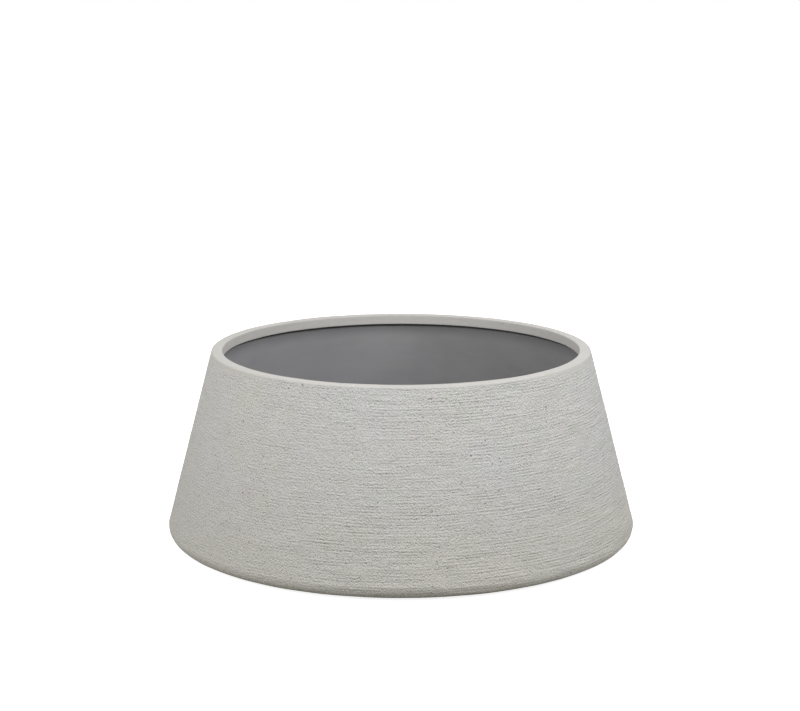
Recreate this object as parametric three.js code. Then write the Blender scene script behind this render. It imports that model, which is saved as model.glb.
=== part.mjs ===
// A low, wide bowl planter in brushed fibre concrete: a cone that is wider at its foot than at its mouth.
// The wall with its rim is one casting, open at the foot. A dark moulded liner goes in through the foot,
// a base slab closes the foot below it and is bonded in with a bead of sealant, and a rubber plug shuts
// the liner's drain neck. The planter stands on four rubber pads under the slab.
// Millimetres, +Z up. The origin is on the floor, under the middle of the bowl.
import * as THREE from "three";

// Wall casting.
const BASE_DIAMETER = 500; // outside, at the widest ring just above the foot
const RIM_DIAMETER = 402; // outside, where the wall's slope meets the top of the rim
const WALL_HEIGHT = 199.5; // foot to top of the rim
const WALL_THICKNESS = 7; // square to the slope
const FOOT_ROUNDING = 11.5; // quarter round under the foot, as wide as the foot is thick
const LEDGE_WIDTH = 2; // step inside the foot that stands on the slab

// Lip that turns in round the mouth.
const LIP_WIDTH = 11.5; // top of the rim, outer edge to inner edge
const LIP_DEPTH = 10.5; // height of the lip's inner face
const LIP_OUTER_ROUNDING = 2.5;
const LIP_INNER_ROUNDING = 1.25;

// Liner.
const LINER_THICKNESS = 2.5;
const LINER_CORNER = 8; // outer radius where the liner's wall turns into its floor
const LINER_TOP_GAP = 3.2; // shadow gap under the lip
const DRAIN_BORE = 25; // inside the liner's drain neck
const DRAIN_SEAT_DEPTH = 1; // recess in the liner's floor that the plug's flange sits in
const DRAIN_SEAT_CLEARANCE = 4; // recess past the plug's flange, on the radius

// Base slab and the bead that bonds it.
const SLAB_THICKNESS = 12;
const SLAB_RECESS = 1.5; // underside of the slab above the wall's foot
const BEAD_SIZE = 5; // bevel under the slab's edge, which the bead fills
const BOND_GAP = 0.3; // glue line between bonded faces

// Drain plug.
const PLUG_CLEARANCE = 0.3; // shank to bore, on the radius
const PLUG_TAPER = 0.8; // shank's radius lost towards its tip
const PLUG_TIP_GAP = 2; // plug's tip above the mouth of the neck
const PLUG_FLANGE_OVERLAP = 6.5; // flange past the bore, on the radius
const PLUG_FLANGE_THICKNESS = 3;
const PLUG_KNOB_DIAMETER = 18;
const PLUG_KNOB_HEIGHT = 9; // above the flange
const PLUG_NECK_DIAMETER = 12;
const PLUG_NECK_HEIGHT = 3.5; // groove for the fingertips under the knob
const PLUG_ROUNDING = 1;

// Foot pads.
const PAD_NAMES = ["foot_pad_back_right", "foot_pad_back_left", "foot_pad_front_left", "foot_pad_front_right"];
const PAD_DIAMETER = 32;
const PAD_THICKNESS = 4;
const PAD_ROUNDING = 1;
const PAD_INSET = 40; // pad's centre from the slab's edge

// Facets.
const ROUND_STEPS = 80; // round the bowl
const SMALL_ROUND_STEPS = 32; // round the plug and the pads
const ARC_STEPS = 2; // pairs of facets in each rounding

const QUARTER = Math.PI / 2;

// Heights of the faces that carry one another.
const slabUnderside = PAD_THICKNESS;
const slabTop = slabUnderside + SLAB_THICKNESS;
const footLevel = slabUnderside - SLAB_RECESS;
const linerUnderside = slabTop + BOND_GAP;
const drainSeat = linerUnderside + LINER_THICKNESS - DRAIN_SEAT_DEPTH;

// The wall's outer slope is the line from the rim's outer corner that just touches the rounded foot.
const baseRadius = BASE_DIAMETER / 2;
const rimRadius = RIM_DIAMETER / 2;
const footCentre = new THREE.Vector2(baseRadius - FOOT_ROUNDING, FOOT_ROUNDING);
const rimCorner = new THREE.Vector2(rimRadius, WALL_HEIGHT);
const rimFromFoot = rimCorner.clone().sub(footCentre);
const slope = rimFromFoot.angle() - Math.acos(FOOT_ROUNDING / rimFromFoot.length()); // lean from upright

// Radius of the line that runs a given depth inside the outer slope, at a height above the wall's foot.
function slopeRadius(height, depth) {
  return rimRadius + (WALL_HEIGHT - height) * Math.tan(slope) - depth / Math.cos(slope);
}

// Height above the wall's foot at which that line has a given radius.
function slopeHeight(radius, depth) {
  return WALL_HEIGHT - (radius + depth / Math.cos(slope) - rimRadius) / Math.tan(slope);
}

const lipRadius = rimRadius - LIP_WIDTH;
const lipUnderside = WALL_HEIGHT - LIP_DEPTH;
const slabPocketRadius = footCentre.x;
const ledgeRadius = slabPocketRadius - LEDGE_WIDTH;
const slabRadius = slabPocketRadius - BOND_GAP;
const neckBore = DRAIN_BORE / 2;
const neckRadius = neckBore + LINER_THICKNESS;
const flangeRadius = neckBore + PLUG_FLANGE_OVERLAP;
const seatRadius = flangeRadius + DRAIN_SEAT_CLEARANCE;

// A solid of revolution about +Z from a closed outline of radius (x) and height (y).
function revolve(outline, steps) {
  return new THREE.LatheGeometry(outline.getPoints(ARC_STEPS), steps).rotateX(QUARTER);
}

function piece(name, geometry, material, height = 0) {
  const mesh = new THREE.Mesh(geometry, material);
  mesh.name = name;
  mesh.position.z = height;
  return mesh;
}

// The wall casting: rounded foot, sloping wall, rounded rim, lip, ledge and pocket for the slab.
// Its outline is drawn upwards outside and downwards inside, from its foot at height 0.
function wallOutline() {
  const lipTurn = QUARTER - slope; // how far the outline turns over the rim's outer edge
  const tangent = LIP_OUTER_ROUNDING * Math.tan(lipTurn / 2);
  const ledgeHeight = slabTop + BOND_GAP - footLevel;
  const outline = new THREE.Path();
  outline.absarc(footCentre.x, footCentre.y, FOOT_ROUNDING, -QUARTER, slope, false);
  outline.absarc(rimRadius - tangent, WALL_HEIGHT - LIP_OUTER_ROUNDING, LIP_OUTER_ROUNDING, slope, QUARTER, false);
  outline.absarc(
    lipRadius + LIP_INNER_ROUNDING, WALL_HEIGHT - LIP_INNER_ROUNDING, LIP_INNER_ROUNDING, QUARTER, 2 * QUARTER, false,
  );
  outline.lineTo(lipRadius, lipUnderside);
  outline.lineTo(slopeRadius(lipUnderside, WALL_THICKNESS), lipUnderside);
  outline.lineTo(ledgeRadius, slopeHeight(ledgeRadius, WALL_THICKNESS));
  outline.lineTo(ledgeRadius, ledgeHeight);
  outline.lineTo(slabPocketRadius, ledgeHeight);
  outline.closePath();
  return outline;
}

// The liner: a thin bowl that lines the wall and the slab, with a seat for the plug in its floor and a
// drain neck down through the slab.
// Its outline starts at its top edge, above the underside of its floor at height 0.
function linerOutline() {
  const outerDepth = WALL_THICKNESS + BOND_GAP;
  const innerDepth = outerDepth + LINER_THICKNESS;
  const rise = footLevel - linerUnderside; // from heights in the wall to heights in the liner
  const top = lipUnderside - LINER_TOP_GAP;
  const outerRadius = ledgeRadius - BOND_GAP;
  const innerRadius = outerRadius - LINER_THICKNESS;
  const innerCorner = LINER_CORNER - LINER_THICKNESS;
  const outline = new THREE.Path();
  outline.moveTo(slopeRadius(top, innerDepth), top + rise);
  outline.lineTo(innerRadius, slopeHeight(innerRadius, innerDepth) + rise);
  outline.absarc(outerRadius - LINER_CORNER, LINER_CORNER, innerCorner, 0, -QUARTER, true);
  outline.lineTo(seatRadius, LINER_THICKNESS);
  outline.lineTo(seatRadius, drainSeat - linerUnderside);
  outline.lineTo(neckBore, drainSeat - linerUnderside);
  outline.lineTo(neckBore, slabUnderside - linerUnderside);
  outline.lineTo(neckRadius, slabUnderside - linerUnderside);
  outline.lineTo(neckRadius, 0);
  outline.absarc(outerRadius - LINER_CORNER, LINER_CORNER, LINER_CORNER, -QUARTER, 0, false);
  outline.lineTo(outerRadius, slopeHeight(outerRadius, outerDepth) + rise);
  outline.lineTo(slopeRadius(top, outerDepth), top + rise);
  outline.closePath();
  return outline;
}

// The base slab: a disc with a hole for the drain neck and a bevel for the bead, from its underside.
function slabOutline() {
  const hole = neckRadius + BOND_GAP;
  const outline = new THREE.Path();
  outline.moveTo(hole, 0);
  outline.lineTo(slabRadius - BEAD_SIZE, 0);
  outline.lineTo(slabRadius, BEAD_SIZE);
  outline.lineTo(slabRadius, SLAB_THICKNESS);
  outline.lineTo(hole, SLAB_THICKNESS);
  outline.closePath();
  return outline;
}

// The bead of sealant in the bevel, a glue line clear of the slab and of the wall.
function beadOutline() {
  const leg = BEAD_SIZE - BOND_GAP * Math.SQRT2;
  const outline = new THREE.Path();
  outline.moveTo(slabRadius - leg, 0);
  outline.lineTo(slabRadius, 0);
  outline.lineTo(slabRadius, leg);
  outline.closePath();
  return outline;
}

// The drain plug, from the underside of its flange: tapered shank below, flange and finger knob above.
function plugOutline() {
  const shankRadius = neckBore - PLUG_CLEARANCE;
  const tipRadius = shankRadius - PLUG_TAPER;
  const tip = slabUnderside + PLUG_TIP_GAP - drainSeat;
  const knobRadius = PLUG_KNOB_DIAMETER / 2;
  const knobNeck = PLUG_NECK_DIAMETER / 2;
  const knobFoot = PLUG_FLANGE_THICKNESS + PLUG_NECK_HEIGHT;
  const knobTop = PLUG_FLANGE_THICKNESS + PLUG_KNOB_HEIGHT;
  const r = PLUG_ROUNDING;
  const outline = new THREE.Path();
  outline.moveTo(0, tip);
  outline.lineTo(tipRadius - r, tip);
  outline.absarc(tipRadius - r, tip + r, r, -QUARTER, 0, false);
  outline.lineTo(shankRadius, 0);
  outline.lineTo(flangeRadius, 0);
  outline.absarc(flangeRadius - r, PLUG_FLANGE_THICKNESS - r, r, 0, QUARTER, false);
  outline.lineTo(knobNeck, PLUG_FLANGE_THICKNESS);
  outline.lineTo(knobNeck, knobFoot);
  outline.absarc(knobRadius - r, knobFoot + r, r, -QUARTER, 0, false);
  outline.absarc(knobRadius - r, knobTop - r, r, 0, QUARTER, false);
  outline.lineTo(0, knobTop);
  return outline;
}

// A foot pad: a disc with a rounded lower edge.
function padOutline() {
  const radius = PAD_DIAMETER / 2;
  const outline = new THREE.Path();
  outline.moveTo(0, 0);
  outline.lineTo(radius - PAD_ROUNDING, 0);
  outline.absarc(radius - PAD_ROUNDING, PAD_ROUNDING, PAD_ROUNDING, -QUARTER, 0, false);
  outline.lineTo(radius, PAD_THICKNESS);
  outline.lineTo(0, PAD_THICKNESS);
  return outline;
}

const brushedConcrete = new THREE.MeshStandardMaterial({ color: 0xb9b8b4, roughness: 0.92, metalness: 0 });
const darkLiner = new THREE.MeshStandardMaterial({ color: 0x949496, roughness: 0.55, metalness: 0 });
const rawConcrete = new THREE.MeshStandardMaterial({ color: 0x9b9a95, roughness: 0.95, metalness: 0 });
const sealant = new THREE.MeshStandardMaterial({ color: 0x55565a, roughness: 0.6, metalness: 0 });
const blackRubber = new THREE.MeshStandardMaterial({ color: 0x232325, roughness: 0.7, metalness: 0 });

const planter = new THREE.Group();

planter.add(piece("wall_shell", revolve(wallOutline(), ROUND_STEPS), brushedConcrete, footLevel));
planter.add(piece("inner_liner", revolve(linerOutline(), ROUND_STEPS), darkLiner, linerUnderside));
planter.add(piece("drain_plug", revolve(plugOutline(), SMALL_ROUND_STEPS), blackRubber, drainSeat));

// Everything that hangs from the underside of the slab.
const base = new THREE.Group();
base.position.z = slabUnderside;
base.add(piece("base_slab", revolve(slabOutline(), ROUND_STEPS), rawConcrete));
base.add(piece("base_joint_bead", revolve(beadOutline(), ROUND_STEPS), sealant));
PAD_NAMES.forEach((name, index) => {
  const pad = piece(name, revolve(padOutline(), SMALL_ROUND_STEPS), blackRubber, -PAD_THICKNESS);
  const angle = ((index + 0.5) / PAD_NAMES.length) * 4 * QUARTER;
  pad.position.x = (slabRadius - PAD_INSET) * Math.cos(angle);
  pad.position.y = (slabRadius - PAD_INSET) * Math.sin(angle);
  base.add(pad);
});
planter.add(base);

export default planter;
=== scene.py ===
"""The looks of a low bowl planter in brushed fibre concrete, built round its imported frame.

Every piece is turned: an outline of radius and height goes round an upright axis. Geometry Nodes does the
turning, works the brush strokes and ripples into the faces, and sets the pads on their ring. Metres, with
the floor at height 0.
"""
import math

import bpy
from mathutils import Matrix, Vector


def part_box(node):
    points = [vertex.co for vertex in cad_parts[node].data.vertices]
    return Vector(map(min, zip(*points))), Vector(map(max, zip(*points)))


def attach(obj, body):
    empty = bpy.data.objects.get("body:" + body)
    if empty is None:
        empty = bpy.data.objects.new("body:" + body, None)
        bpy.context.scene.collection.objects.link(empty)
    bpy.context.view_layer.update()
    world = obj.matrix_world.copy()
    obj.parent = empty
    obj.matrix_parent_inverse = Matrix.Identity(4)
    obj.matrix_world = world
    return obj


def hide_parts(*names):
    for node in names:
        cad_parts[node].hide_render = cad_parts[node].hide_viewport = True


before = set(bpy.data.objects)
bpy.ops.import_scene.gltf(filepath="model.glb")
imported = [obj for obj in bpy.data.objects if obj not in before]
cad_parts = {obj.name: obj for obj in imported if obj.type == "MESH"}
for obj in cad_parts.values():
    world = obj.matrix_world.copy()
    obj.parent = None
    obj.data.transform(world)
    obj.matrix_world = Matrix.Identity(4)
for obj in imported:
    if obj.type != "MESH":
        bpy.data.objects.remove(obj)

MM = 0.001
QUARTER = math.pi / 2    # a quarter turn
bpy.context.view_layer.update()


# ---------------------------------------------------------------- sizes, worked out from the frame

def span(name):
    """A node's lowest height, highest height and widest radius."""
    low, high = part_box(name)
    return low.z, high.z, high.x


PADS = ("foot_pad_back_right", "foot_pad_back_left", "foot_pad_front_left", "foot_pad_front_right")

FOOT, RIM_TOP, WIDEST = span("wall_shell")
_, LINER_TOP, LINER_RADIUS = span("inner_liner")
PLUG_TIP, PLUG_TOP, FLANGE_RADIUS = span("drain_plug")
SLAB_UNDERSIDE, SLAB_TOP, SLAB_RADIUS = span("base_slab")
BEAD_FOOT, BEAD_TOP, BEAD_RADIUS = span("base_joint_bead")
pad_low, pad_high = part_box(PADS[0])

# Wall.
RIM_RADIUS = 201 * MM          # where the slope meets the level of the rim's top
WALL_THICKNESS = 7 * MM
FOOT_ROUNDING = 11.5 * MM
LEDGE_WIDTH = 2 * MM           # step inside the foot that stands on the slab
LIP_WIDTH = 11.5 * MM
LIP_DEPTH = 10.5 * MM
LIP_OUTER_ROUNDING = 2.5 * MM
LIP_INNER_ROUNDING = 1.25 * MM
LIP_LOWER_ROUNDING = 0.6 * MM
BRUSH_FADE = 16 * MM           # from the rim's top down to where the brush has full hold
GLUE = 0.3 * MM                # line between bonded faces

# Liner.
LINER_THICKNESS = 2.5 * MM
LINER_CORNER = 8 * MM
LINER_EDGE = 0.8 * MM          # bevel inside the liner's top edge
DRAIN_BORE_RADIUS = 12.5 * MM
BORE_EDGE = 0.3 * MM
SEAT_RADIUS = 23 * MM
SEAT_DEPTH = 1 * MM
SEAT_EDGE = 0.5 * MM
LINER_FLOOR_UNDERSIDE = SLAB_TOP + GLUE
LINER_FLOOR = LINER_FLOOR_UNDERSIDE + LINER_THICKNESS
SEAT = LINER_FLOOR - SEAT_DEPTH

# Plug.
SHANK_CLEARANCE = 0.3 * MM
SHANK_TAPER = 0.8 * MM
FLANGE_THICKNESS = 3 * MM
KNOB_RADIUS = 9 * MM
KNOB_NECK_RADIUS = 6 * MM
KNOB_NECK_HEIGHT = 3.5 * MM
KNOB_DIMPLE = 1.2 * MM
PLUG_ROUNDING = 1 * MM
RIB_HEIGHT = 0.2 * MM
RIB_HALF_WIDTH = 0.7 * MM

# Slab, bead and pads.
SLAB_BEVEL = 5 * MM
SLAB_HOLE_BEVEL = 0.8 * MM
BEAD_HOLLOW = 0.9 * MM
PAD_ROUNDING = 1 * MM
PAD_TOP_ROUNDING = 0.4 * MM
GROOVE_RADII = (4 * MM, 7.5 * MM, 11 * MM)
GROOVE_DEPTH = 0.35 * MM
GROOVE_WIDTH = 1.2 * MM

# Lean of the wall's slope from upright: its line runs from the rim and just touches the rounded foot.
foot_centre = Vector((WIDEST - FOOT_ROUNDING, FOOT_ROUNDING))
from_foot = Vector((RIM_RADIUS, RIM_TOP - FOOT)) - foot_centre
SLOPE = math.atan2(from_foot.y, from_foot.x) - math.acos(FOOT_ROUNDING / from_foot.length)


def slope_radius(height, depth):
    """Radius of the line that runs a depth inside the wall's slope, at a height above the floor."""
    return RIM_RADIUS + (RIM_TOP - height) * math.tan(SLOPE) - depth / math.cos(SLOPE)


def slope_height(radius, depth):
    """Height above the floor at which that line has a radius."""
    return RIM_TOP - (radius + depth / math.cos(SLOPE) - RIM_RADIUS) / math.tan(SLOPE)


# ---------------------------------------------------------------- node trees

class Value:
    """A node's output in a tree. Arithmetic on it adds Math nodes."""

    def __init__(self, graph, socket):
        self.graph = graph
        self.socket = socket

    def output(self, name):
        """Another output of the same node."""
        return Value(self.graph, self.socket.node.outputs[name])

    def math(self, operation, *others):
        return self.graph.math(operation, self, *others)

    def __add__(self, other):
        return self.graph.math("ADD", self, other)

    def __sub__(self, other):
        return self.graph.math("SUBTRACT", self, other)

    def __mul__(self, other):
        return self.graph.math("MULTIPLY", self, other)

    def __truediv__(self, other):
        return self.graph.math("DIVIDE", self, other)

    def __rsub__(self, other):
        return self.graph.math("SUBTRACT", other, self)

    def __rtruediv__(self, other):
        return self.graph.math("DIVIDE", other, self)

    __radd__ = __add__
    __rmul__ = __mul__


class Graph:
    """A node tree under construction."""

    def __init__(self, tree):
        self.tree = tree

    def node(self, kind, settings=None, inputs=None):
        """Adds a node: its settings first, then each input's value or link. Gives its first output."""
        made = self.tree.nodes.new(kind)
        for name, value in (settings or {}).items():
            setattr(made, name, value)
        for name, value in (inputs or {}).items():
            if isinstance(name, int):
                socket = made.inputs[name]
            else:
                socket = next(s for s in made.inputs if s.name == name and s.enabled)
            if isinstance(value, Value):
                self.tree.links.new(value.socket, socket)
            else:
                socket.default_value = value
        shown = [s for s in made.outputs if s.enabled]
        return Value(self, shown[0]) if shown else None

    def math(self, operation, *values):
        return self.node("ShaderNodeMath", {"operation": operation}, dict(enumerate(values)))

    def vector(self, x, y, z):
        return self.node("ShaderNodeCombineXYZ", None, {"X": x, "Y": y, "Z": z})

    def axes(self, vector):
        split = self.node("ShaderNodeSeparateXYZ", None, {0: vector})
        return [split.output(axis) for axis in "XYZ"]

    def noise(self, where, size=1.0, detail=2.0, roughness=0.5):
        """Smooth noise about 0, seldom past -0.5 or 0.5, in cells of a size."""
        return self.node("ShaderNodeTexNoise", None, {
            "Vector": where, "Scale": 1.0 / size, "Detail": detail, "Roughness": roughness}) - 0.5

    def drawn_noise(self, x, y, z, width, height, detail):
        """Noise in cells that have one width along the floor and another height."""
        return self.noise(self.vector(x / width, y / width, z / height), 1.0, detail)

    def step(self, value, low, high, to_low=0.0, to_high=1.0):
        """A smooth step from one level to another while a value goes from low to high."""
        return self.node("ShaderNodeMapRange", {"interpolation_type": "SMOOTHSTEP"}, {
            "Value": value, "From Min": low, "From Max": high, "To Min": to_low, "To Max": to_high})

    def mix(self, share, first, second, blend="MIX"):
        """A colour between two colours."""
        return self.node("ShaderNodeMix", {"data_type": "RGBA", "blend_type": blend}, {
            "Factor": share, "A": first, "B": second})


# ---------------------------------------------------------------- turning

SEAM = 0.01 * MM                   # points nearer than this become one, which closes seams and poles
SMOOTH_BEND = math.radians(40)     # edges that bend less than this are shaded smooth

# Brush on the wall.
BRUSH_CLOUD = 1 / 9                # size of the clouds in which it took more or less hold
BRISTLE_SHARE = 0.19               # how much of a stroke's depth each kind of stroke gives
UNEVEN_SHARE = 0.5
LONG_SHARE = 0.45


def new_tree(name, inputs):
    """A geometry tree with named inputs. Gives its graph and a way to each input."""
    tree = bpy.data.node_groups.new(name, "GeometryNodeTree")
    for label, kind in inputs:
        tree.interface.new_socket(label, in_out="INPUT", socket_type="NodeSocket" + kind)
    tree.interface.new_socket("Geometry", in_out="OUTPUT", socket_type="NodeSocketGeometry")
    graph = Graph(tree)
    return graph, graph.node("NodeGroupInput").output


def end_tree(graph, geometry, material):
    real = graph.node("GeometryNodeRealizeInstances", None, {"Geometry": geometry})
    dressed = graph.node("GeometryNodeSetMaterial", None, {"Geometry": real, "Material": material})
    graph.node("NodeGroupOutput", None, {0: dressed})
    return graph.tree


def turning_tree():
    """Turns an outline round the axis, then works strokes and ripples into the surface.

    The outline's points hold radius as X and height as Y. Each point's "work" says how much the brush takes
    hold there, and its "ripple" how much of the ripples it has. The surface keeps "ripple", "work" sharpened
    to a step, and "stroke", the height of the brush strokes as a share of their depth, for its material.
    """
    graph, given = new_tree("Turned piece", [
        ("Outline", "Geometry"), ("Closed", "Bool"), ("Steps", "Int"), ("Seed", "Float"),
        ("Stroke Depth", "Float"), ("Stroke Length", "Float"), ("Stroke Pitch", "Float"),
        ("Stroke Wander", "Float"), ("Ripple Depth", "Float"), ("Ripple Size", "Float"),
        ("Material", "Material")])
    outline = given("Outline")
    points = graph.node("GeometryNodeAttributeDomainSize", None, {"Geometry": outline})
    rows = points + given("Closed")
    grid = graph.node("GeometryNodeMeshGrid", None, {"Vertices X": given("Steps") + 1, "Vertices Y": rows})
    index = graph.node("GeometryNodeInputIndex")
    column = (index / rows).math("FLOOR")
    row = (index - column * rows).math("MODULO", points)

    def of_outline(kind, value):
        return graph.node("GeometryNodeSampleIndex", {"data_type": kind}, {
            "Geometry": outline, "Value": value, "Index": row})

    def attribute(name):
        return graph.node("GeometryNodeInputNamedAttribute", {"data_type": "FLOAT"}, {"Name": name})

    def kept(surface, name, value):
        return graph.node("GeometryNodeStoreNamedAttribute", {"data_type": "FLOAT", "domain": "POINT"}, {
            "Geometry": surface, "Name": name, "Value": value})

    place = of_outline("FLOAT_VECTOR", graph.node("GeometryNodeInputPosition"))
    radius, height, _ = graph.axes(place)
    angle = column / given("Steps") * (4 * QUARTER)
    surface = graph.node("GeometryNodeSetPosition", None, {
        "Geometry": grid,
        "Position": graph.vector(radius * angle.math("COSINE"), radius * angle.math("SINE"), height)})
    for name in ("work", "ripple"):
        surface = kept(surface, name, of_outline("FLOAT", attribute(name)))
    surface = graph.node("GeometryNodeMergeByDistance", None, {"Geometry": surface, "Distance": SEAM})

    position = graph.node("GeometryNodeInputPosition")
    x, y, z = graph.axes(position)
    cloud = graph.noise(graph.vector(x, y, z + given("Seed")), BRUSH_CLOUD, 1.0)
    along = 1.0 / given("Stroke Length")
    across = 1.0 / given("Stroke Pitch")

    def strokes(length, pitches, height):
        """Noise drawn out round the axis: its cells are some strokes long and some pitches high."""
        drawn_out = graph.vector(x * along / length, y * along / length, height * across / pitches)
        return graph.noise(drawn_out, 1.0, 0.0)

    # Towards the two sides the brush needs more hold before the sand shows.
    needed = graph.step(x.math("ABSOLUTE"), 110 * MM, 190 * MM) * 0.35
    hold = attribute("work") * (1.0 + cloud)
    surface = kept(surface, "work", graph.step(hold, needed, needed + 0.2))

    # Three kinds of strokes lie on lines that wander up and down: regular bristle marks in patches, uneven
    # ones everywhere, and long ones low on the wall. All of them are shallower on the left, so the painted
    # shade and light that the material takes from them is fainter where the light is softer.
    wavy = z + cloud * given("Stroke Wander") + given("Seed")
    shallower_left = graph.step(cloud * 0.4 + x, -170 * MM, 60 * MM, 0.45, 1.0)
    patches = graph.step(strokes(0.8, 2.5, z), -0.1, 0.15, 0.2, 1.0)
    bristles = ((wavy * across + strokes(1.5, 5.0, z)) * (4 * QUARTER)).math("SINE")
    uneven = strokes(0.9, 0.5, wavy)
    low_down = graph.step(z, 15 * MM, 90 * MM, 1.0, 0.0)
    drawn_long = strokes(2.0, 0.6, wavy)
    stroke = bristles * patches * BRISTLE_SHARE + uneven * UNEVEN_SHARE + drawn_long * low_down * LONG_SHARE
    surface = kept(surface, "stroke", stroke * shallower_left * attribute("work"))

    # Noise reaches half a unit either way, so twice a depth makes it that deep.
    ripple = graph.noise(position, given("Ripple Size"), 2.0) * attribute("ripple")
    rise = attribute("stroke") * given("Stroke Depth") * 2.0 + ripple * given("Ripple Depth") * 2.0
    outwards = graph.node("ShaderNodeVectorMath", {"operation": "SCALE"}, {
        0: graph.node("GeometryNodeInputNormal"), "Scale": rise})
    surface = graph.node("GeometryNodeSetPosition", None, {"Geometry": surface, "Offset": outwards})

    bend = graph.node("GeometryNodeInputMeshEdgeAngle")
    soft = graph.node("FunctionNodeCompare", {"data_type": "FLOAT", "operation": "LESS_THAN"}, {
        0: bend, 1: SMOOTH_BEND})
    surface = graph.node("GeometryNodeSetShadeSmooth", {"domain": "FACE"}, {
        "Geometry": surface, "Shade Smooth": True})
    surface = graph.node("GeometryNodeSetShadeSmooth", {"domain": "EDGE"}, {
        "Geometry": surface, "Shade Smooth": soft})
    return end_tree(graph, surface, given("Material"))


def ring_tree():
    """Sets copies of a piece on a ring round the axis, the first one half a step past +X."""
    graph, given = new_tree("Set on a ring", [
        ("Piece", "Geometry"), ("Copies", "Int"), ("Ring Radius", "Float"), ("Material", "Material")])
    angle = (graph.node("GeometryNodeInputIndex") + 0.5) / given("Copies") * (4 * QUARTER)
    places = graph.node("GeometryNodePoints", None, {
        "Count": given("Copies"),
        "Position": graph.vector(given("Ring Radius") * angle.math("COSINE"),
                                 given("Ring Radius") * angle.math("SINE"), 0.0)})
    copies = graph.node("GeometryNodeInstanceOnPoints", None, {
        "Points": places, "Instance": given("Piece")})
    return end_tree(graph, copies, given("Material"))


TURNING = turning_tree()
RING = ring_tree()


def grown(obj, tree, values):
    """Runs a tree on an object and keeps what it makes as the object's plain mesh."""
    modifier = obj.modifiers.new(tree.name, "NODES")
    modifier.node_group = tree
    for item in tree.interface.items_tree:
        if item.in_out == "INPUT" and item.name in values:
            modifier[item.identifier] = values[item.name]
    depsgraph = bpy.context.evaluated_depsgraph_get()
    mesh = bpy.data.meshes.new_from_object(obj.evaluated_get(depsgraph), depsgraph=depsgraph)
    obj.modifiers.clear()
    obj.data = mesh
    return obj


def line(start, end, steps=1):
    """Points on a straight stretch of an outline: its start, but not its end."""
    across = end[0] - start[0]
    up = end[1] - start[1]
    return [(start[0] + across * i / steps, start[1] + up * i / steps) for i in range(steps)]


def arc(radius, height, rounding, start, end, steps):
    """Points on a round stretch of an outline about a radius and a height, both ends included."""
    angles = [start + (end - start) * i / steps for i in range(steps + 1)]
    return [(radius + rounding * math.cos(a), height + rounding * math.sin(a)) for a in angles]


def turned(name, points, material, work=lambda r, z: 0.0, ripple=lambda r, z: 1.0,
           closed=True, steps=256, **values):
    """A turned piece. Two rules give each of its outline's points its share of strokes and ripples.

    The last point of a closed outline joins the first, and an open one has both its ends on the axis. The
    values are further inputs of the turning tree, by name.
    """
    outline = bpy.data.meshes.new(name)
    edges = [(i, i + 1) for i in range(len(points) - 1)]
    outline.from_pydata([(r, z, 0.0) for r, z in points], edges, [])
    for label, rule in (("work", work), ("ripple", ripple)):
        shares = outline.attributes.new(label, "FLOAT", "POINT")
        shares.data.foreach_set("value", [rule(r, z) for r, z in points])
    obj = bpy.data.objects.new(name, outline)
    bpy.context.scene.collection.objects.link(obj)
    inputs = {"Closed": closed, "Steps": steps, "Material": material,
              "Stroke Length": 1.0, "Stroke Pitch": 1.0, "Ripple Size": 1.0}     # the tree divides by these
    inputs.update({label.replace("_", " ").title(): value for label, value in values.items()})
    return grown(obj, TURNING, inputs)


# ---------------------------------------------------------------- materials

def srgb(red, green, blue):
    """A colour given as a screen shows it, 0 to 255, in the linear values that nodes take."""
    def linear(level):
        share = level / 255
        return share / 12.92 if share <= 0.04045 else ((share + 0.055) / 1.055) ** 2.4
    return (linear(red), linear(green), linear(blue), 1.0)


# Concrete of the wall.
CEMENT = srgb(190, 190, 190)
CEMENT_CREAM = srgb(191, 190, 187)
CEMENT_GREENISH = srgb(187, 190, 183)
CEMENT_PINKISH = srgb(193, 189, 191)
CEMENT_LOW = srgb(192, 189, 180)
CEMENT_TROWELLED = srgb(189, 187, 183)
FOOT_SHADE = srgb(142, 140, 116)
COATING_AND_SHADE = srgb(105, 105, 106)

# Liner.
LINER_DARK = srgb(148, 148, 150)
LINER_PALE = srgb(165, 165, 167)
DUST = srgb(176, 176, 173)
BLACK = srgb(0, 0, 0)

# Slab, bead and rubber.
SLAB_DARK = srgb(148, 147, 142)
SLAB_PALE = srgb(172, 169, 162)
AIR_HOLE_SHADE = srgb(88, 86, 82)
SEALANT_DARK = srgb(78, 79, 82)
SEALANT_PALE = srgb(92, 92, 94)
RUBBER_BLACK = srgb(31, 31, 33)
RUBBER_BLOOM = srgb(47, 47, 48)


def finish(name, build, specular=0.5):
    """A material. Its build rule gives colour, roughness and the height of its fine relief in metres."""
    material = bpy.data.materials.new(name)
    material.use_nodes = True
    material.node_tree.nodes.clear()
    graph = Graph(material.node_tree)
    place = graph.node("ShaderNodeTexCoord").output("Object")
    colour, roughness, relief = build(graph, place)
    bump = graph.node("ShaderNodeBump", None, {"Strength": 1.0, "Distance": 1.0, "Height": relief})
    shader = graph.node("ShaderNodeBsdfPrincipled", None, {
        "Base Color": colour, "Roughness": roughness, "Normal": bump, "Specular IOR Level": specular})
    graph.node("ShaderNodeOutputMaterial", None, {"Surface": shader})
    return material


def surface_share(graph, name):
    """A share that the turning tree kept on the surface."""
    return graph.node("ShaderNodeAttribute", {"attribute_name": name}).output("Fac")


def dots(graph, place, spacing, smallest, largest):
    """1 in the middle of scattered round dots with soft edges and radii between two sizes, 0 elsewhere."""
    cells = graph.node("ShaderNodeTexVoronoi", {"feature": "F1"}, {"Vector": place, "Scale": 1.0 / spacing})
    chance = graph.axes(cells.output("Color"))[0]
    radius = smallest + chance * chance * (largest - smallest)
    return graph.step(cells * spacing / radius, 0.4, 1.0, 1.0, 0.0)


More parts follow.
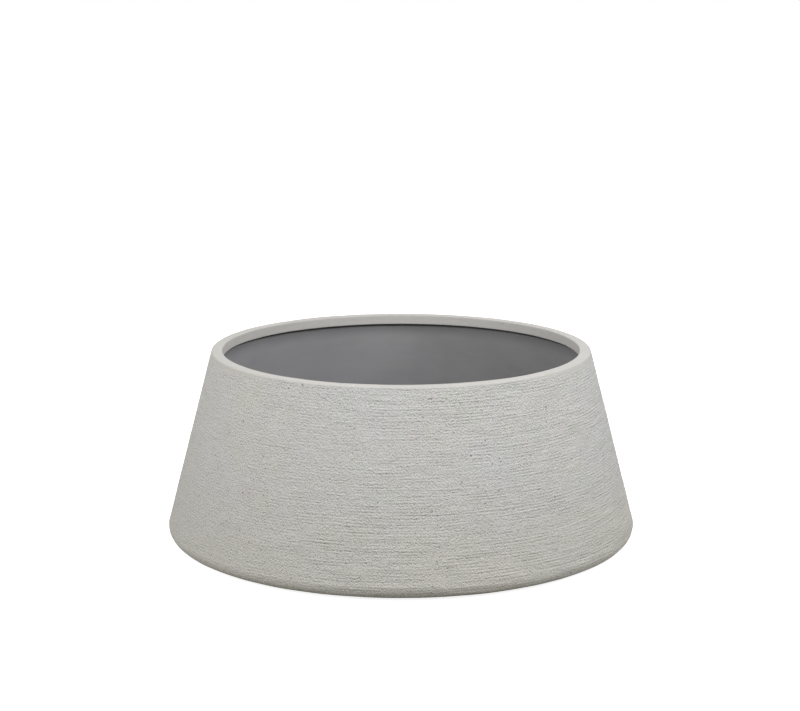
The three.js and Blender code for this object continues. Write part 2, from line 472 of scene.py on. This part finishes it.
def brushed(graph, place):
    """Off-white concrete: brushed and sandy on the slope, trowelled smooth on the rim, creamier low down,
    with painted shade under the foot, painted light towards the top, painted shadows under the sand grains,
    painted shade in the strokes' grooves and pits, and dark on the faces that the liner hides: partly a dark
    coating, partly painted shade in the gap under the lip."""
    x, y, z = graph.axes(place)
    work = surface_share(graph, "work")
    stroke = surface_share(graph, "stroke")
    open_air = surface_share(graph, "ripple")   # the wall has ripples only where the liner doesn't hide it
    clouds = graph.noise(place, 90 * MM, 3.0)
    tint = graph.noise(place, 26 * MM, 2.0)
    mottle = graph.noise(place, 9 * MM, 3.0)
    drawn = graph.drawn_noise(x, y, z, 35 * MM, 1.6 * MM, 1.0)
    pits = dots(graph, place, 12 * MM, 0.3 * MM, 1.7 * MM)
    pinholes = dots(graph, place, 7.5 * MM, 0.6 * MM, 1.3 * MM)

    def grains(up):
        """Coarse sand, as it lies a little way up from each place."""
        return graph.drawn_noise(x, y, z + up, 1.3 * MM, 1.2 * MM, 0.5)

    sand = grains(0.0)
    sand_with_painted_shadow = sand - grains(1.1 * MM) * 0.6      # painted shadow: a pale grain has a dark place under it, as if lit from above
    grip = work * 0.8 + 0.2

    low_down = graph.step(z, 10 * MM, 130 * MM, 0.5, 0.0)
    on_lip = graph.step(z, RIM_TOP - BRUSH_FADE, RIM_TOP - 10 * MM) * (1.0 - work)
    colour = graph.mix(graph.step(clouds, -0.16, 0.16), CEMENT, CEMENT_CREAM)
    colour = graph.mix(graph.step(tint, 0.0, 0.2, 0.0, 0.5), colour, CEMENT_GREENISH)
    colour = graph.mix(graph.step(tint, -0.2, 0.0, 0.5, 0.0), colour, CEMENT_PINKISH)
    colour = graph.mix(low_down, colour, CEMENT_LOW)
    colour = graph.mix(on_lip, colour, CEMENT_TROWELLED)

    # Painted shade and light: each grain's painted shadow, strokes darker in grooves and paler on ridges.
    grain = sand_with_painted_shadow * grip * 0.9 + stroke * 0.58 + mottle * 0.08 + drawn * (1.0 - work) * 0.1
    # Painted light: paler towards the top and darker towards the foot, as the lamps' light falls.
    painted_light_up = graph.step(z, 10 * MM, 190 * MM, 0.975, 1.06)
    level = (1.0 + grain - grain * grain) * painted_light_up
    # Painted shade inside the pits and pinholes.
    level = level * (1.0 - pits * 0.4) * (1.0 - pinholes * work * 0.45)
    shade = graph.node("ShaderNodeCombineColor", None, {"Red": level, "Green": level, "Blue": level})
    colour = graph.mix(1.0, colour, shade, "MULTIPLY")

    # Painted shade under the foot, olive like the floor's dull bounce, where little light reaches.
    under_foot_shade = graph.step(z, 3 * MM, 8 * MM, 0.6, 0.0)
    # Dark on the faces the liner hides: partly a dark coating, partly painted shade in the gap under the
    # lip.
    behind_liner = graph.step(z, 20 * MM, 40 * MM) * (1.0 - open_air)
    colour = graph.mix(under_foot_shade, colour, FOOT_SHADE)
    colour = graph.mix(behind_liner, colour, COATING_AND_SHADE)
    relief = sand * grip * (0.8 * MM) - pits * (0.5 * MM) - pinholes * work * (0.3 * MM)
    return colour, 0.9 + mottle * 0.1, relief


def moulded(graph, place):
    """Dark grey satin liner, faintly clouded, with some dust, painted light on the left and painted shade at
    its top edge under the lip.
    """
    x, y, z = graph.axes(place)
    clouds = graph.noise(place, 60 * MM, 3.0)
    wiped = graph.drawn_noise(x, y, z, 30 * MM, 7 * MM, 2.0)
    grain = graph.noise(place, 1.6 * MM, 2.0)
    dust = dots(graph, place, 15 * MM, 0.3 * MM, 1.4 * MM)
    # Painted light: paler on the left, where the light from the right falls into the bowl.
    painted_light_left = graph.step(x - clouds * 0.2, -90 * MM, 110 * MM, 0.7, 0.0)
    pale = painted_light_left + graph.step(clouds + wiped * 0.5, -0.2, 0.2, 0.0, 0.3)
    # Painted shade: darker at the top edge, in the shade under the lip.
    top_edge = graph.step(z, 173 * MM, 189 * MM, 0.0, 0.3)
    colour = graph.mix(pale, LINER_DARK, LINER_PALE)
    colour = graph.mix(dust * 0.3, colour, DUST)
    colour = graph.mix(top_edge, colour, BLACK)
    roughness = 0.56 + clouds * 0.12 + dust * 0.2
    return colour, roughness, grain * (0.03 * MM) + clouds * (0.25 * MM)


def cast(graph, place):
    """Raw concrete of the slab: trowel swirls, sand, and air holes with painted shade in them."""
    x, y, z = graph.axes(place)
    clouds = graph.noise(place, 55 * MM, 4.0, 0.6)
    sand = graph.noise(place, 2 * MM, 2.0, 0.6)
    swirl = graph.noise(graph.vector(x + clouds * 0.08, y + clouds * 0.05, z), 30 * MM, 2.0)
    trowel = (swirl * 22.0).math("SINE")
    holes = dots(graph, place, 9 * MM, 0.5 * MM, 2.4 * MM)
    colour = graph.mix(graph.step(clouds + trowel * 0.04, -0.2, 0.2), SLAB_DARK, SLAB_PALE)
    # Painted shade inside the air holes.
    colour = graph.mix(holes * 0.55, colour, AIR_HOLE_SHADE)
    roughness = 0.92 + clouds * 0.1
    return colour, roughness, sand * (0.35 * MM) + trowel * (0.05 * MM) - holes * (0.6 * MM)


def tooled(graph, place):
    """Dark grey sealant, drawn smooth with a wet finger."""
    x, y, z = graph.axes(place)
    drag = graph.noise(graph.vector(x, y, z * 6.0), 25 * MM, 3.0)
    grain = graph.noise(place, 1.2 * MM, 1.0)
    colour = graph.mix(graph.step(drag, -0.2, 0.2), SEALANT_DARK, SEALANT_PALE)
    return colour, 0.5 + drag * 0.3, drag * (0.35 * MM) + grain * (0.02 * MM)


def rubber(graph, place):
    """Black moulded rubber with a bloom of grey in places."""
    bloom = graph.noise(place, 9 * MM, 3.0, 0.6)
    grain = graph.noise(place, 0.5 * MM, 2.0)
    colour = graph.mix(graph.step(bloom, -0.15, 0.3), RUBBER_BLACK, RUBBER_BLOOM)
    return colour, 0.68 + bloom * 0.3, grain * (0.03 * MM)


BRUSHED_CONCRETE = finish("brushed_concrete", brushed, specular=0.25)
LINER_GREY = finish("liner_grey", moulded)
RAW_CONCRETE = finish("raw_concrete", cast, specular=0.25)
JOINT_SEALANT = finish("joint_sealant", tooled)
BLACK_RUBBER = finish("black_rubber", rubber)


# ---------------------------------------------------------------- pieces

def wall_shell():
    """The wall casting: its outline goes up the outside, over the lip and down the inside to the foot."""
    lip_radius = RIM_RADIUS - LIP_WIDTH
    lip_underside = RIM_TOP - LIP_DEPTH
    pocket_radius = WIDEST - FOOT_ROUNDING
    ledge_radius = pocket_radius - LEDGE_WIDTH
    ledge = SLAB_TOP + GLUE
    edge_radius = RIM_RADIUS - LIP_OUTER_ROUNDING * math.tan((QUARTER - SLOPE) / 2)
    foot = arc(pocket_radius, FOOT + FOOT_ROUNDING, FOOT_ROUNDING, -QUARTER, SLOPE, 26)
    rim_edge = arc(edge_radius, RIM_TOP - LIP_OUTER_ROUNDING, LIP_OUTER_ROUNDING, SLOPE, QUARTER, 10)
    lip_edge = arc(lip_radius + LIP_INNER_ROUNDING, RIM_TOP - LIP_INNER_ROUNDING, LIP_INNER_ROUNDING,
                   QUARTER, 2 * QUARTER, 4)
    lip_foot = arc(lip_radius + LIP_LOWER_ROUNDING, lip_underside + LIP_LOWER_ROUNDING, LIP_LOWER_ROUNDING,
                   2 * QUARTER, 3 * QUARTER, 3)
    inner_top = (slope_radius(lip_underside, WALL_THICKNESS), lip_underside)
    inner_foot = (ledge_radius, slope_height(ledge_radius, WALL_THICKNESS))
    points = (foot[:-1] + line(foot[-1], rim_edge[0], 300)
              + rim_edge[:-1] + line(rim_edge[-1], lip_edge[0], 5)
              + lip_edge[:-1] + line(lip_edge[-1], lip_foot[0], 6)
              + lip_foot[:-1] + line(lip_foot[-1], inner_top, 2)
              + line(inner_top, inner_foot, 8)
              + line(inner_foot, (ledge_radius, ledge), 2)
              + line((ledge_radius, ledge), (pocket_radius, ledge))
              + line((pocket_radius, ledge), (pocket_radius, FOOT), 2))

    def outside(r, z):
        """Whether a point is on the slope or on the foot's rounding."""
        return r > pocket_radius + 1 * MM or r > slope_radius(z, 1 * MM) and z > FOOT + FOOT_ROUNDING

    def work(r, z):
        below_rim = min(1.0, max(0.0, (RIM_TOP - z) / BRUSH_FADE))
        above_foot = min(1.0, max(0.0, (z - FOOT) / FOOT_ROUNDING))
        return below_rim * above_foot if outside(r, z) else 0.0

    def ripple(r, z):
        return 1.0 if z > lip_underside or outside(r, z) else 0.0

    return turned("wall_shell_brushed", points, BRUSHED_CONCRETE, work, ripple, seed=3.0,
                  stroke_depth=0.5 * MM, stroke_length=35 * MM, stroke_pitch=2.8 * MM, stroke_wander=2 * MM,
                  ripple_depth=0.35 * MM, ripple_size=38 * MM)


def inner_liner():
    """The liner: its outline goes from the drain neck out under the floor, up the outside, and back down the
    inside to the plug's seat and the bore."""
    outer_depth = WALL_THICKNESS + GLUE
    inner_depth = outer_depth + LINER_THICKNESS
    inner_radius = LINER_RADIUS - LINER_THICKNESS
    neck_radius = DRAIN_BORE_RADIUS + LINER_THICKNESS
    corner = (LINER_RADIUS - LINER_CORNER, LINER_FLOOR_UNDERSIDE + LINER_CORNER)
    outside_turn = arc(*corner, LINER_CORNER, -QUARTER, 0, 8)
    inside_turn = arc(*corner, LINER_CORNER - LINER_THICKNESS, 0, -QUARTER, 8)
    outside_bend = (LINER_RADIUS, slope_height(LINER_RADIUS, outer_depth))
    inside_bend = (inner_radius, slope_height(inner_radius, inner_depth))
    outside_top = (slope_radius(LINER_TOP, outer_depth), LINER_TOP)
    top_edge = (slope_radius(LINER_TOP, inner_depth) + LINER_EDGE, LINER_TOP)
    inside_top = (slope_radius(LINER_TOP - LINER_EDGE, inner_depth), LINER_TOP - LINER_EDGE)
    neck_foot = (neck_radius, SLAB_UNDERSIDE)
    neck_top = (neck_radius, LINER_FLOOR_UNDERSIDE)
    seat_rim = (SEAT_RADIUS + SEAT_EDGE, LINER_FLOOR)
    seat_wall = (SEAT_RADIUS, LINER_FLOOR - SEAT_EDGE)
    seat_corner = (SEAT_RADIUS, SEAT)
    bore_rim = (DRAIN_BORE_RADIUS + BORE_EDGE, SEAT)
    bore_top = (DRAIN_BORE_RADIUS, SEAT - BORE_EDGE)
    bore_mouth = (DRAIN_BORE_RADIUS, SLAB_UNDERSIDE)
    points = (line(neck_foot, neck_top, 2)
              + line(neck_top, outside_turn[0], 12)
              + outside_turn[:-1] + line(outside_turn[-1], outside_bend, 3)
              + line(outside_bend, outside_top, 16)
              + line(outside_top, top_edge)
              + line(top_edge, inside_top, 2)
              + line(inside_top, inside_bend, 40)
              + line(inside_bend, inside_turn[0], 4)
              + inside_turn[:-1] + line(inside_turn[-1], seat_rim, 40)
              + line(seat_rim, seat_wall)
              + line(seat_wall, seat_corner)
              + line(seat_corner, bore_rim, 4)
              + line(bore_rim, bore_top)
              + line(bore_top, bore_mouth, 4) + [bore_mouth])

    def ripple(r, z):
        inside = r < slope_radius(z, inner_depth - 0.1 * MM) and z > LINER_FLOOR + 2 * MM
        return 1.0 if inside and z < LINER_TOP - 2 * MM else 0.0

    return turned("inner_liner_moulded", points, LINER_GREY, ripple=ripple, steps=240,
                  ripple_depth=0.5 * MM, ripple_size=70 * MM)


def drain_plug():
    """The plug: a tapered shank with three ribs, a flange, and a knob with a dimple in its top."""
    shank_radius = DRAIN_BORE_RADIUS - SHANK_CLEARANCE
    tip_radius = shank_radius - SHANK_TAPER
    flange_top = SEAT + FLANGE_THICKNESS
    knob_foot = flange_top + KNOB_NECK_HEIGHT
    rounding = PLUG_ROUNDING
    neck_rounding = 0.8 * rounding
    knob_rounding = 1.6 * rounding
    tip = arc(tip_radius - rounding, PLUG_TIP + rounding, rounding, -QUARTER, 0, 4)
    rim = arc(FLANGE_RADIUS - rounding, flange_top - rounding, rounding, 0, QUARTER, 5)
    neck_turn = arc(KNOB_NECK_RADIUS + rounding, flange_top + rounding, rounding,
                    3 * QUARTER, 2 * QUARTER, 4)
    neck_top = arc(KNOB_NECK_RADIUS + neck_rounding, knob_foot - neck_rounding, neck_rounding,
                   2 * QUARTER, QUARTER, 4)
    knob_lower = arc(KNOB_RADIUS - rounding, knob_foot + rounding, rounding, -QUARTER, 0, 5)
    knob_upper = arc(KNOB_RADIUS - knob_rounding, PLUG_TOP - knob_rounding, knob_rounding, 0, QUARTER, 6)
    ribs = []
    for share in (0.25, 0.5, 0.75):
        radius = tip_radius + (shank_radius - tip_radius) * share
        height = PLUG_TIP + (SEAT - PLUG_TIP) * share
        ribs += [(radius + RIB_HEIGHT * max(0.0, math.cos(a)), height + RIB_HALF_WIDTH * math.sin(a))
                 for a in [-QUARTER + 2 * QUARTER * i / 6 for i in range(7)]]
    dimple_radius = KNOB_RADIUS - 2.2 * rounding
    dimple = [(dimple_radius * math.cos(a), PLUG_TOP - KNOB_DIMPLE * math.sin(a) ** 2)
              for a in [QUARTER * i / 6 for i in range(6)]]
    points = (line((0.0, PLUG_TIP), tip[0], 4) + tip
              + ribs + line((shank_radius, SEAT), (FLANGE_RADIUS, SEAT), 3)
              + line((FLANGE_RADIUS, SEAT), rim[0], 2)
              + rim[:-1] + line(rim[-1], neck_turn[0], 5)
              + neck_turn + neck_top
              + knob_lower[:-1] + line(knob_lower[-1], knob_upper[0], 2)
              + knob_upper[:-1] + line(knob_upper[-1], dimple[0], 2)
              + dimple + [(0.0, PLUG_TOP - KNOB_DIMPLE)])
    return turned("drain_plug_rubber", points, BLACK_RUBBER, closed=False, steps=96,
                  ripple_depth=0.05 * MM, ripple_size=9 * MM)


def base_slab():
    """The slab: a disc with a bevel under its edge for the bead and a hole for the drain neck."""
    hole = DRAIN_BORE_RADIUS + LINER_THICKNESS + GLUE
    hole_underside = (hole + SLAB_HOLE_BEVEL, SLAB_UNDERSIDE)
    hole_wall = (hole, SLAB_UNDERSIDE + SLAB_HOLE_BEVEL)
    hole_top = (hole, SLAB_TOP)
    bevel_inner = (SLAB_RADIUS - SLAB_BEVEL, SLAB_UNDERSIDE)
    bevel_outer = (SLAB_RADIUS, SLAB_UNDERSIDE + SLAB_BEVEL)
    edge_top = (SLAB_RADIUS, SLAB_TOP)
    points = (line(hole_underside, bevel_inner, 90)
              + line(bevel_inner, bevel_outer, 4)
              + line(bevel_outer, edge_top, 3)
              + line(edge_top, hole_top, 8)
              + line(hole_top, hole_wall, 4) + [hole_wall])

    def ripple(r, z):
        return 1.0 if z < SLAB_UNDERSIDE + 0.1 * MM and r < SLAB_RADIUS - SLAB_BEVEL - 2 * MM else 0.0

    return turned("base_slab_cast", points, RAW_CONCRETE, ripple=ripple,
                  ripple_depth=0.3 * MM, ripple_size=22 * MM)


def base_joint_bead():
    """The bead of sealant: a triangle under the slab's edge with a face that a finger hollowed."""
    leg = BEAD_TOP - BEAD_FOOT
    face = [(BEAD_RADIUS - leg * (1 - i / 8), BEAD_FOOT + BEAD_HOLLOW * math.sin(2 * QUARTER * i / 8))
            for i in range(8)]
    points = (face
              + line((BEAD_RADIUS, BEAD_FOOT), (BEAD_RADIUS, BEAD_TOP), 4)
              + line((BEAD_RADIUS, BEAD_TOP), (BEAD_RADIUS - leg, BEAD_FOOT), 6))

    def ripple(r, z):
        in_face = z < BEAD_FOOT + BEAD_HOLLOW + 0.05 * MM
        return 1.0 if in_face and BEAD_RADIUS - leg < r < BEAD_RADIUS else 0.0

    return turned("base_joint_bead_tooled", points, JOINT_SEALANT, ripple=ripple,
                  ripple_depth=0.35 * MM, ripple_size=14 * MM)


def foot_pads():
    """The pads: discs with three grooves in their undersides."""
    radius = (pad_high.x - pad_low.x) / 2
    top = pad_high.z
    grooves = []
    for groove in GROOVE_RADII:
        grooves += [(groove + GROOVE_WIDTH * (i / 6 - 0.5), GROOVE_DEPTH * math.sin(2 * QUARTER * i / 6))
                    for i in range(7)]
    lower = arc(radius - PAD_ROUNDING, PAD_ROUNDING, PAD_ROUNDING, -QUARTER, 0, 5)
    upper = arc(radius - PAD_TOP_ROUNDING, top - PAD_TOP_ROUNDING, PAD_TOP_ROUNDING, 0, QUARTER, 3)
    points = [(0.0, 0.0)] + grooves + lower[:-1] + line(lower[-1], upper[0], 2) + upper + [(0.0, top)]
    pad = turned("foot_pads_rubber", points, BLACK_RUBBER, closed=False, steps=72)
    centre = (pad_low + pad_high) / 2
    return grown(pad, RING, {"Copies": len(PADS), "Ring Radius": math.hypot(centre.x, centre.y),
                             "Material": BLACK_RUBBER})


for make, body, slot, nodes in (
        (wall_shell, "planter", "brushed_concrete", ("wall_shell",)),
        (inner_liner, "planter", "liner_grey", ("inner_liner",)),
        (drain_plug, "plug", "black_rubber", ("drain_plug",)),
        (base_slab, "planter", "raw_concrete", ("base_slab",)),
        (base_joint_bead, "planter", "joint_sealant", ("base_joint_bead",)),
        (foot_pads, "planter", "black_rubber", PADS)):
    piece = make()
    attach(piece, body)
    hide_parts(*nodes)


# ---------------------------------------------------------------- camera, floor and light

WHITE = (1.0, 1.0, 1.0)
WARM_WHITE = (1.0, 0.985, 0.955)

CAMERA_PLACE = (-0.0011, -2.014, 0.600)
CAMERA_DIP = math.radians(11.44)      # below level
CAMERA_LENS = 86.72                   # millimetres, as the sensor
CAMERA_SENSOR = 36.0

FLOOR_REACH = 12.0
FLOOR_BOUNCE = srgb(156, 154, 146)    # the floor's colour for the light that it throws back
FLOOR_SHADED = (0.7, 0.7, 0.7, 1.0)   # its colour for the camera, to which a glow is added
FLOOR_GLOW = 0.85

ROOM_LIGHT = 0.6                      # even light from all round
LAMP_TARGET = Vector((0.0, 0.0, 0.1))
LAMP_DISTANCE = 1.3
LAMP_SIZE = 0.9
LAMPS = (                             # name, degrees right of the camera's side, degrees up, watts, colour
    ("key", 44, 38, 6.0, WHITE),
    ("side", 65, 55, 2.8, WHITE),
    ("fill", -52, 30, 5.8, WARM_WHITE),
    ("back", 180, 30, 2.5, WHITE))


def seen_directly(graph):
    """1 for what the camera sees, also in gloss or through glass, and 0 for light that falls on things."""
    path = graph.node("ShaderNodeLightPath")
    seen = path.output("Is Camera Ray") + path.output("Is Glossy Ray") + path.output("Is Transmission Ray")
    return seen.math("MINIMUM", 1.0)


def photo_camera():
    camera = bpy.data.cameras.new("camera")
    camera.lens = CAMERA_LENS
    camera.sensor_width = CAMERA_SENSOR
    obj = bpy.data.objects.new("camera", camera)
    obj.location = CAMERA_PLACE
    obj.rotation_euler = (QUARTER - CAMERA_DIP, 0.0, 0.0)
    bpy.context.scene.collection.objects.link(obj)
    bpy.context.scene.camera = obj


def pale_floor():
    """A floor that looks white and keeps the bowl's soft shadow, but throws back only a dull light."""
    mesh = bpy.data.meshes.new("pale_floor")
    corners = [(-1, -1), (1, -1), (1, 1), (-1, 1)]
    mesh.from_pydata([(x * FLOOR_REACH, y * FLOOR_REACH, 0) for x, y in corners], [], [(0, 1, 2, 3)])
    floor = bpy.data.objects.new("pale_floor", mesh)
    bpy.context.scene.collection.objects.link(floor)
    material = bpy.data.materials.new("pale_floor")
    material.use_nodes = True
    material.node_tree.nodes.clear()
    graph = Graph(material.node_tree)
    dull = graph.node("ShaderNodeBsdfDiffuse", None, {"Color": FLOOR_BOUNCE})
    lit = graph.node("ShaderNodeBsdfDiffuse", None, {"Color": FLOOR_SHADED})
    glow = graph.node("ShaderNodeEmission", None, {"Color": (*WHITE, 1.0), "Strength": FLOOR_GLOW})
    white = graph.node("ShaderNodeAddShader", None, {0: lit, 1: glow})
    shown = graph.node("ShaderNodeMixShader", None, {0: seen_directly(graph), 1: dull, 2: white})
    graph.node("ShaderNodeOutputMaterial", None, {"Surface": shown})
    mesh.materials.append(material)


def room_light():
    """Even light from all round, in a room that itself looks white."""
    world = bpy.data.worlds.new("soft_room")
    world.use_nodes = True
    world.node_tree.nodes.clear()
    graph = Graph(world.node_tree)
    seen = seen_directly(graph)
    level = seen + (1.0 - seen) * ROOM_LIGHT
    background = graph.node("ShaderNodeBackground", None, {"Color": (*WHITE, 1.0), "Strength": level})
    graph.node("ShaderNodeOutputWorld", None, {"Surface": background})
    bpy.context.scene.world = world


def softbox(name, azimuth, elevation, power, colour):
    """A square lamp aimed at the middle of the bowl."""
    turn = math.radians(azimuth)
    rise = math.radians(elevation)
    away = Vector((math.sin(turn) * math.cos(rise), -math.cos(turn) * math.cos(rise), math.sin(rise)))
    lamp = bpy.data.lights.new(name, "AREA")
    lamp.shape = "SQUARE"
    lamp.size = LAMP_SIZE
    lamp.energy = power
    lamp.color = colour
    obj = bpy.data.objects.new(name, lamp)
    obj.location = LAMP_TARGET + away * LAMP_DISTANCE
    obj.rotation_euler = away.to_track_quat("Z", "Y").to_euler()
    obj.visible_camera = False
    bpy.context.scene.collection.objects.link(obj)


photo_camera()
pale_floor()
room_light()
for lamp in LAMPS:
    softbox(*lamp)
bpy.context.scene.view_settings.view_transform = "Standard"
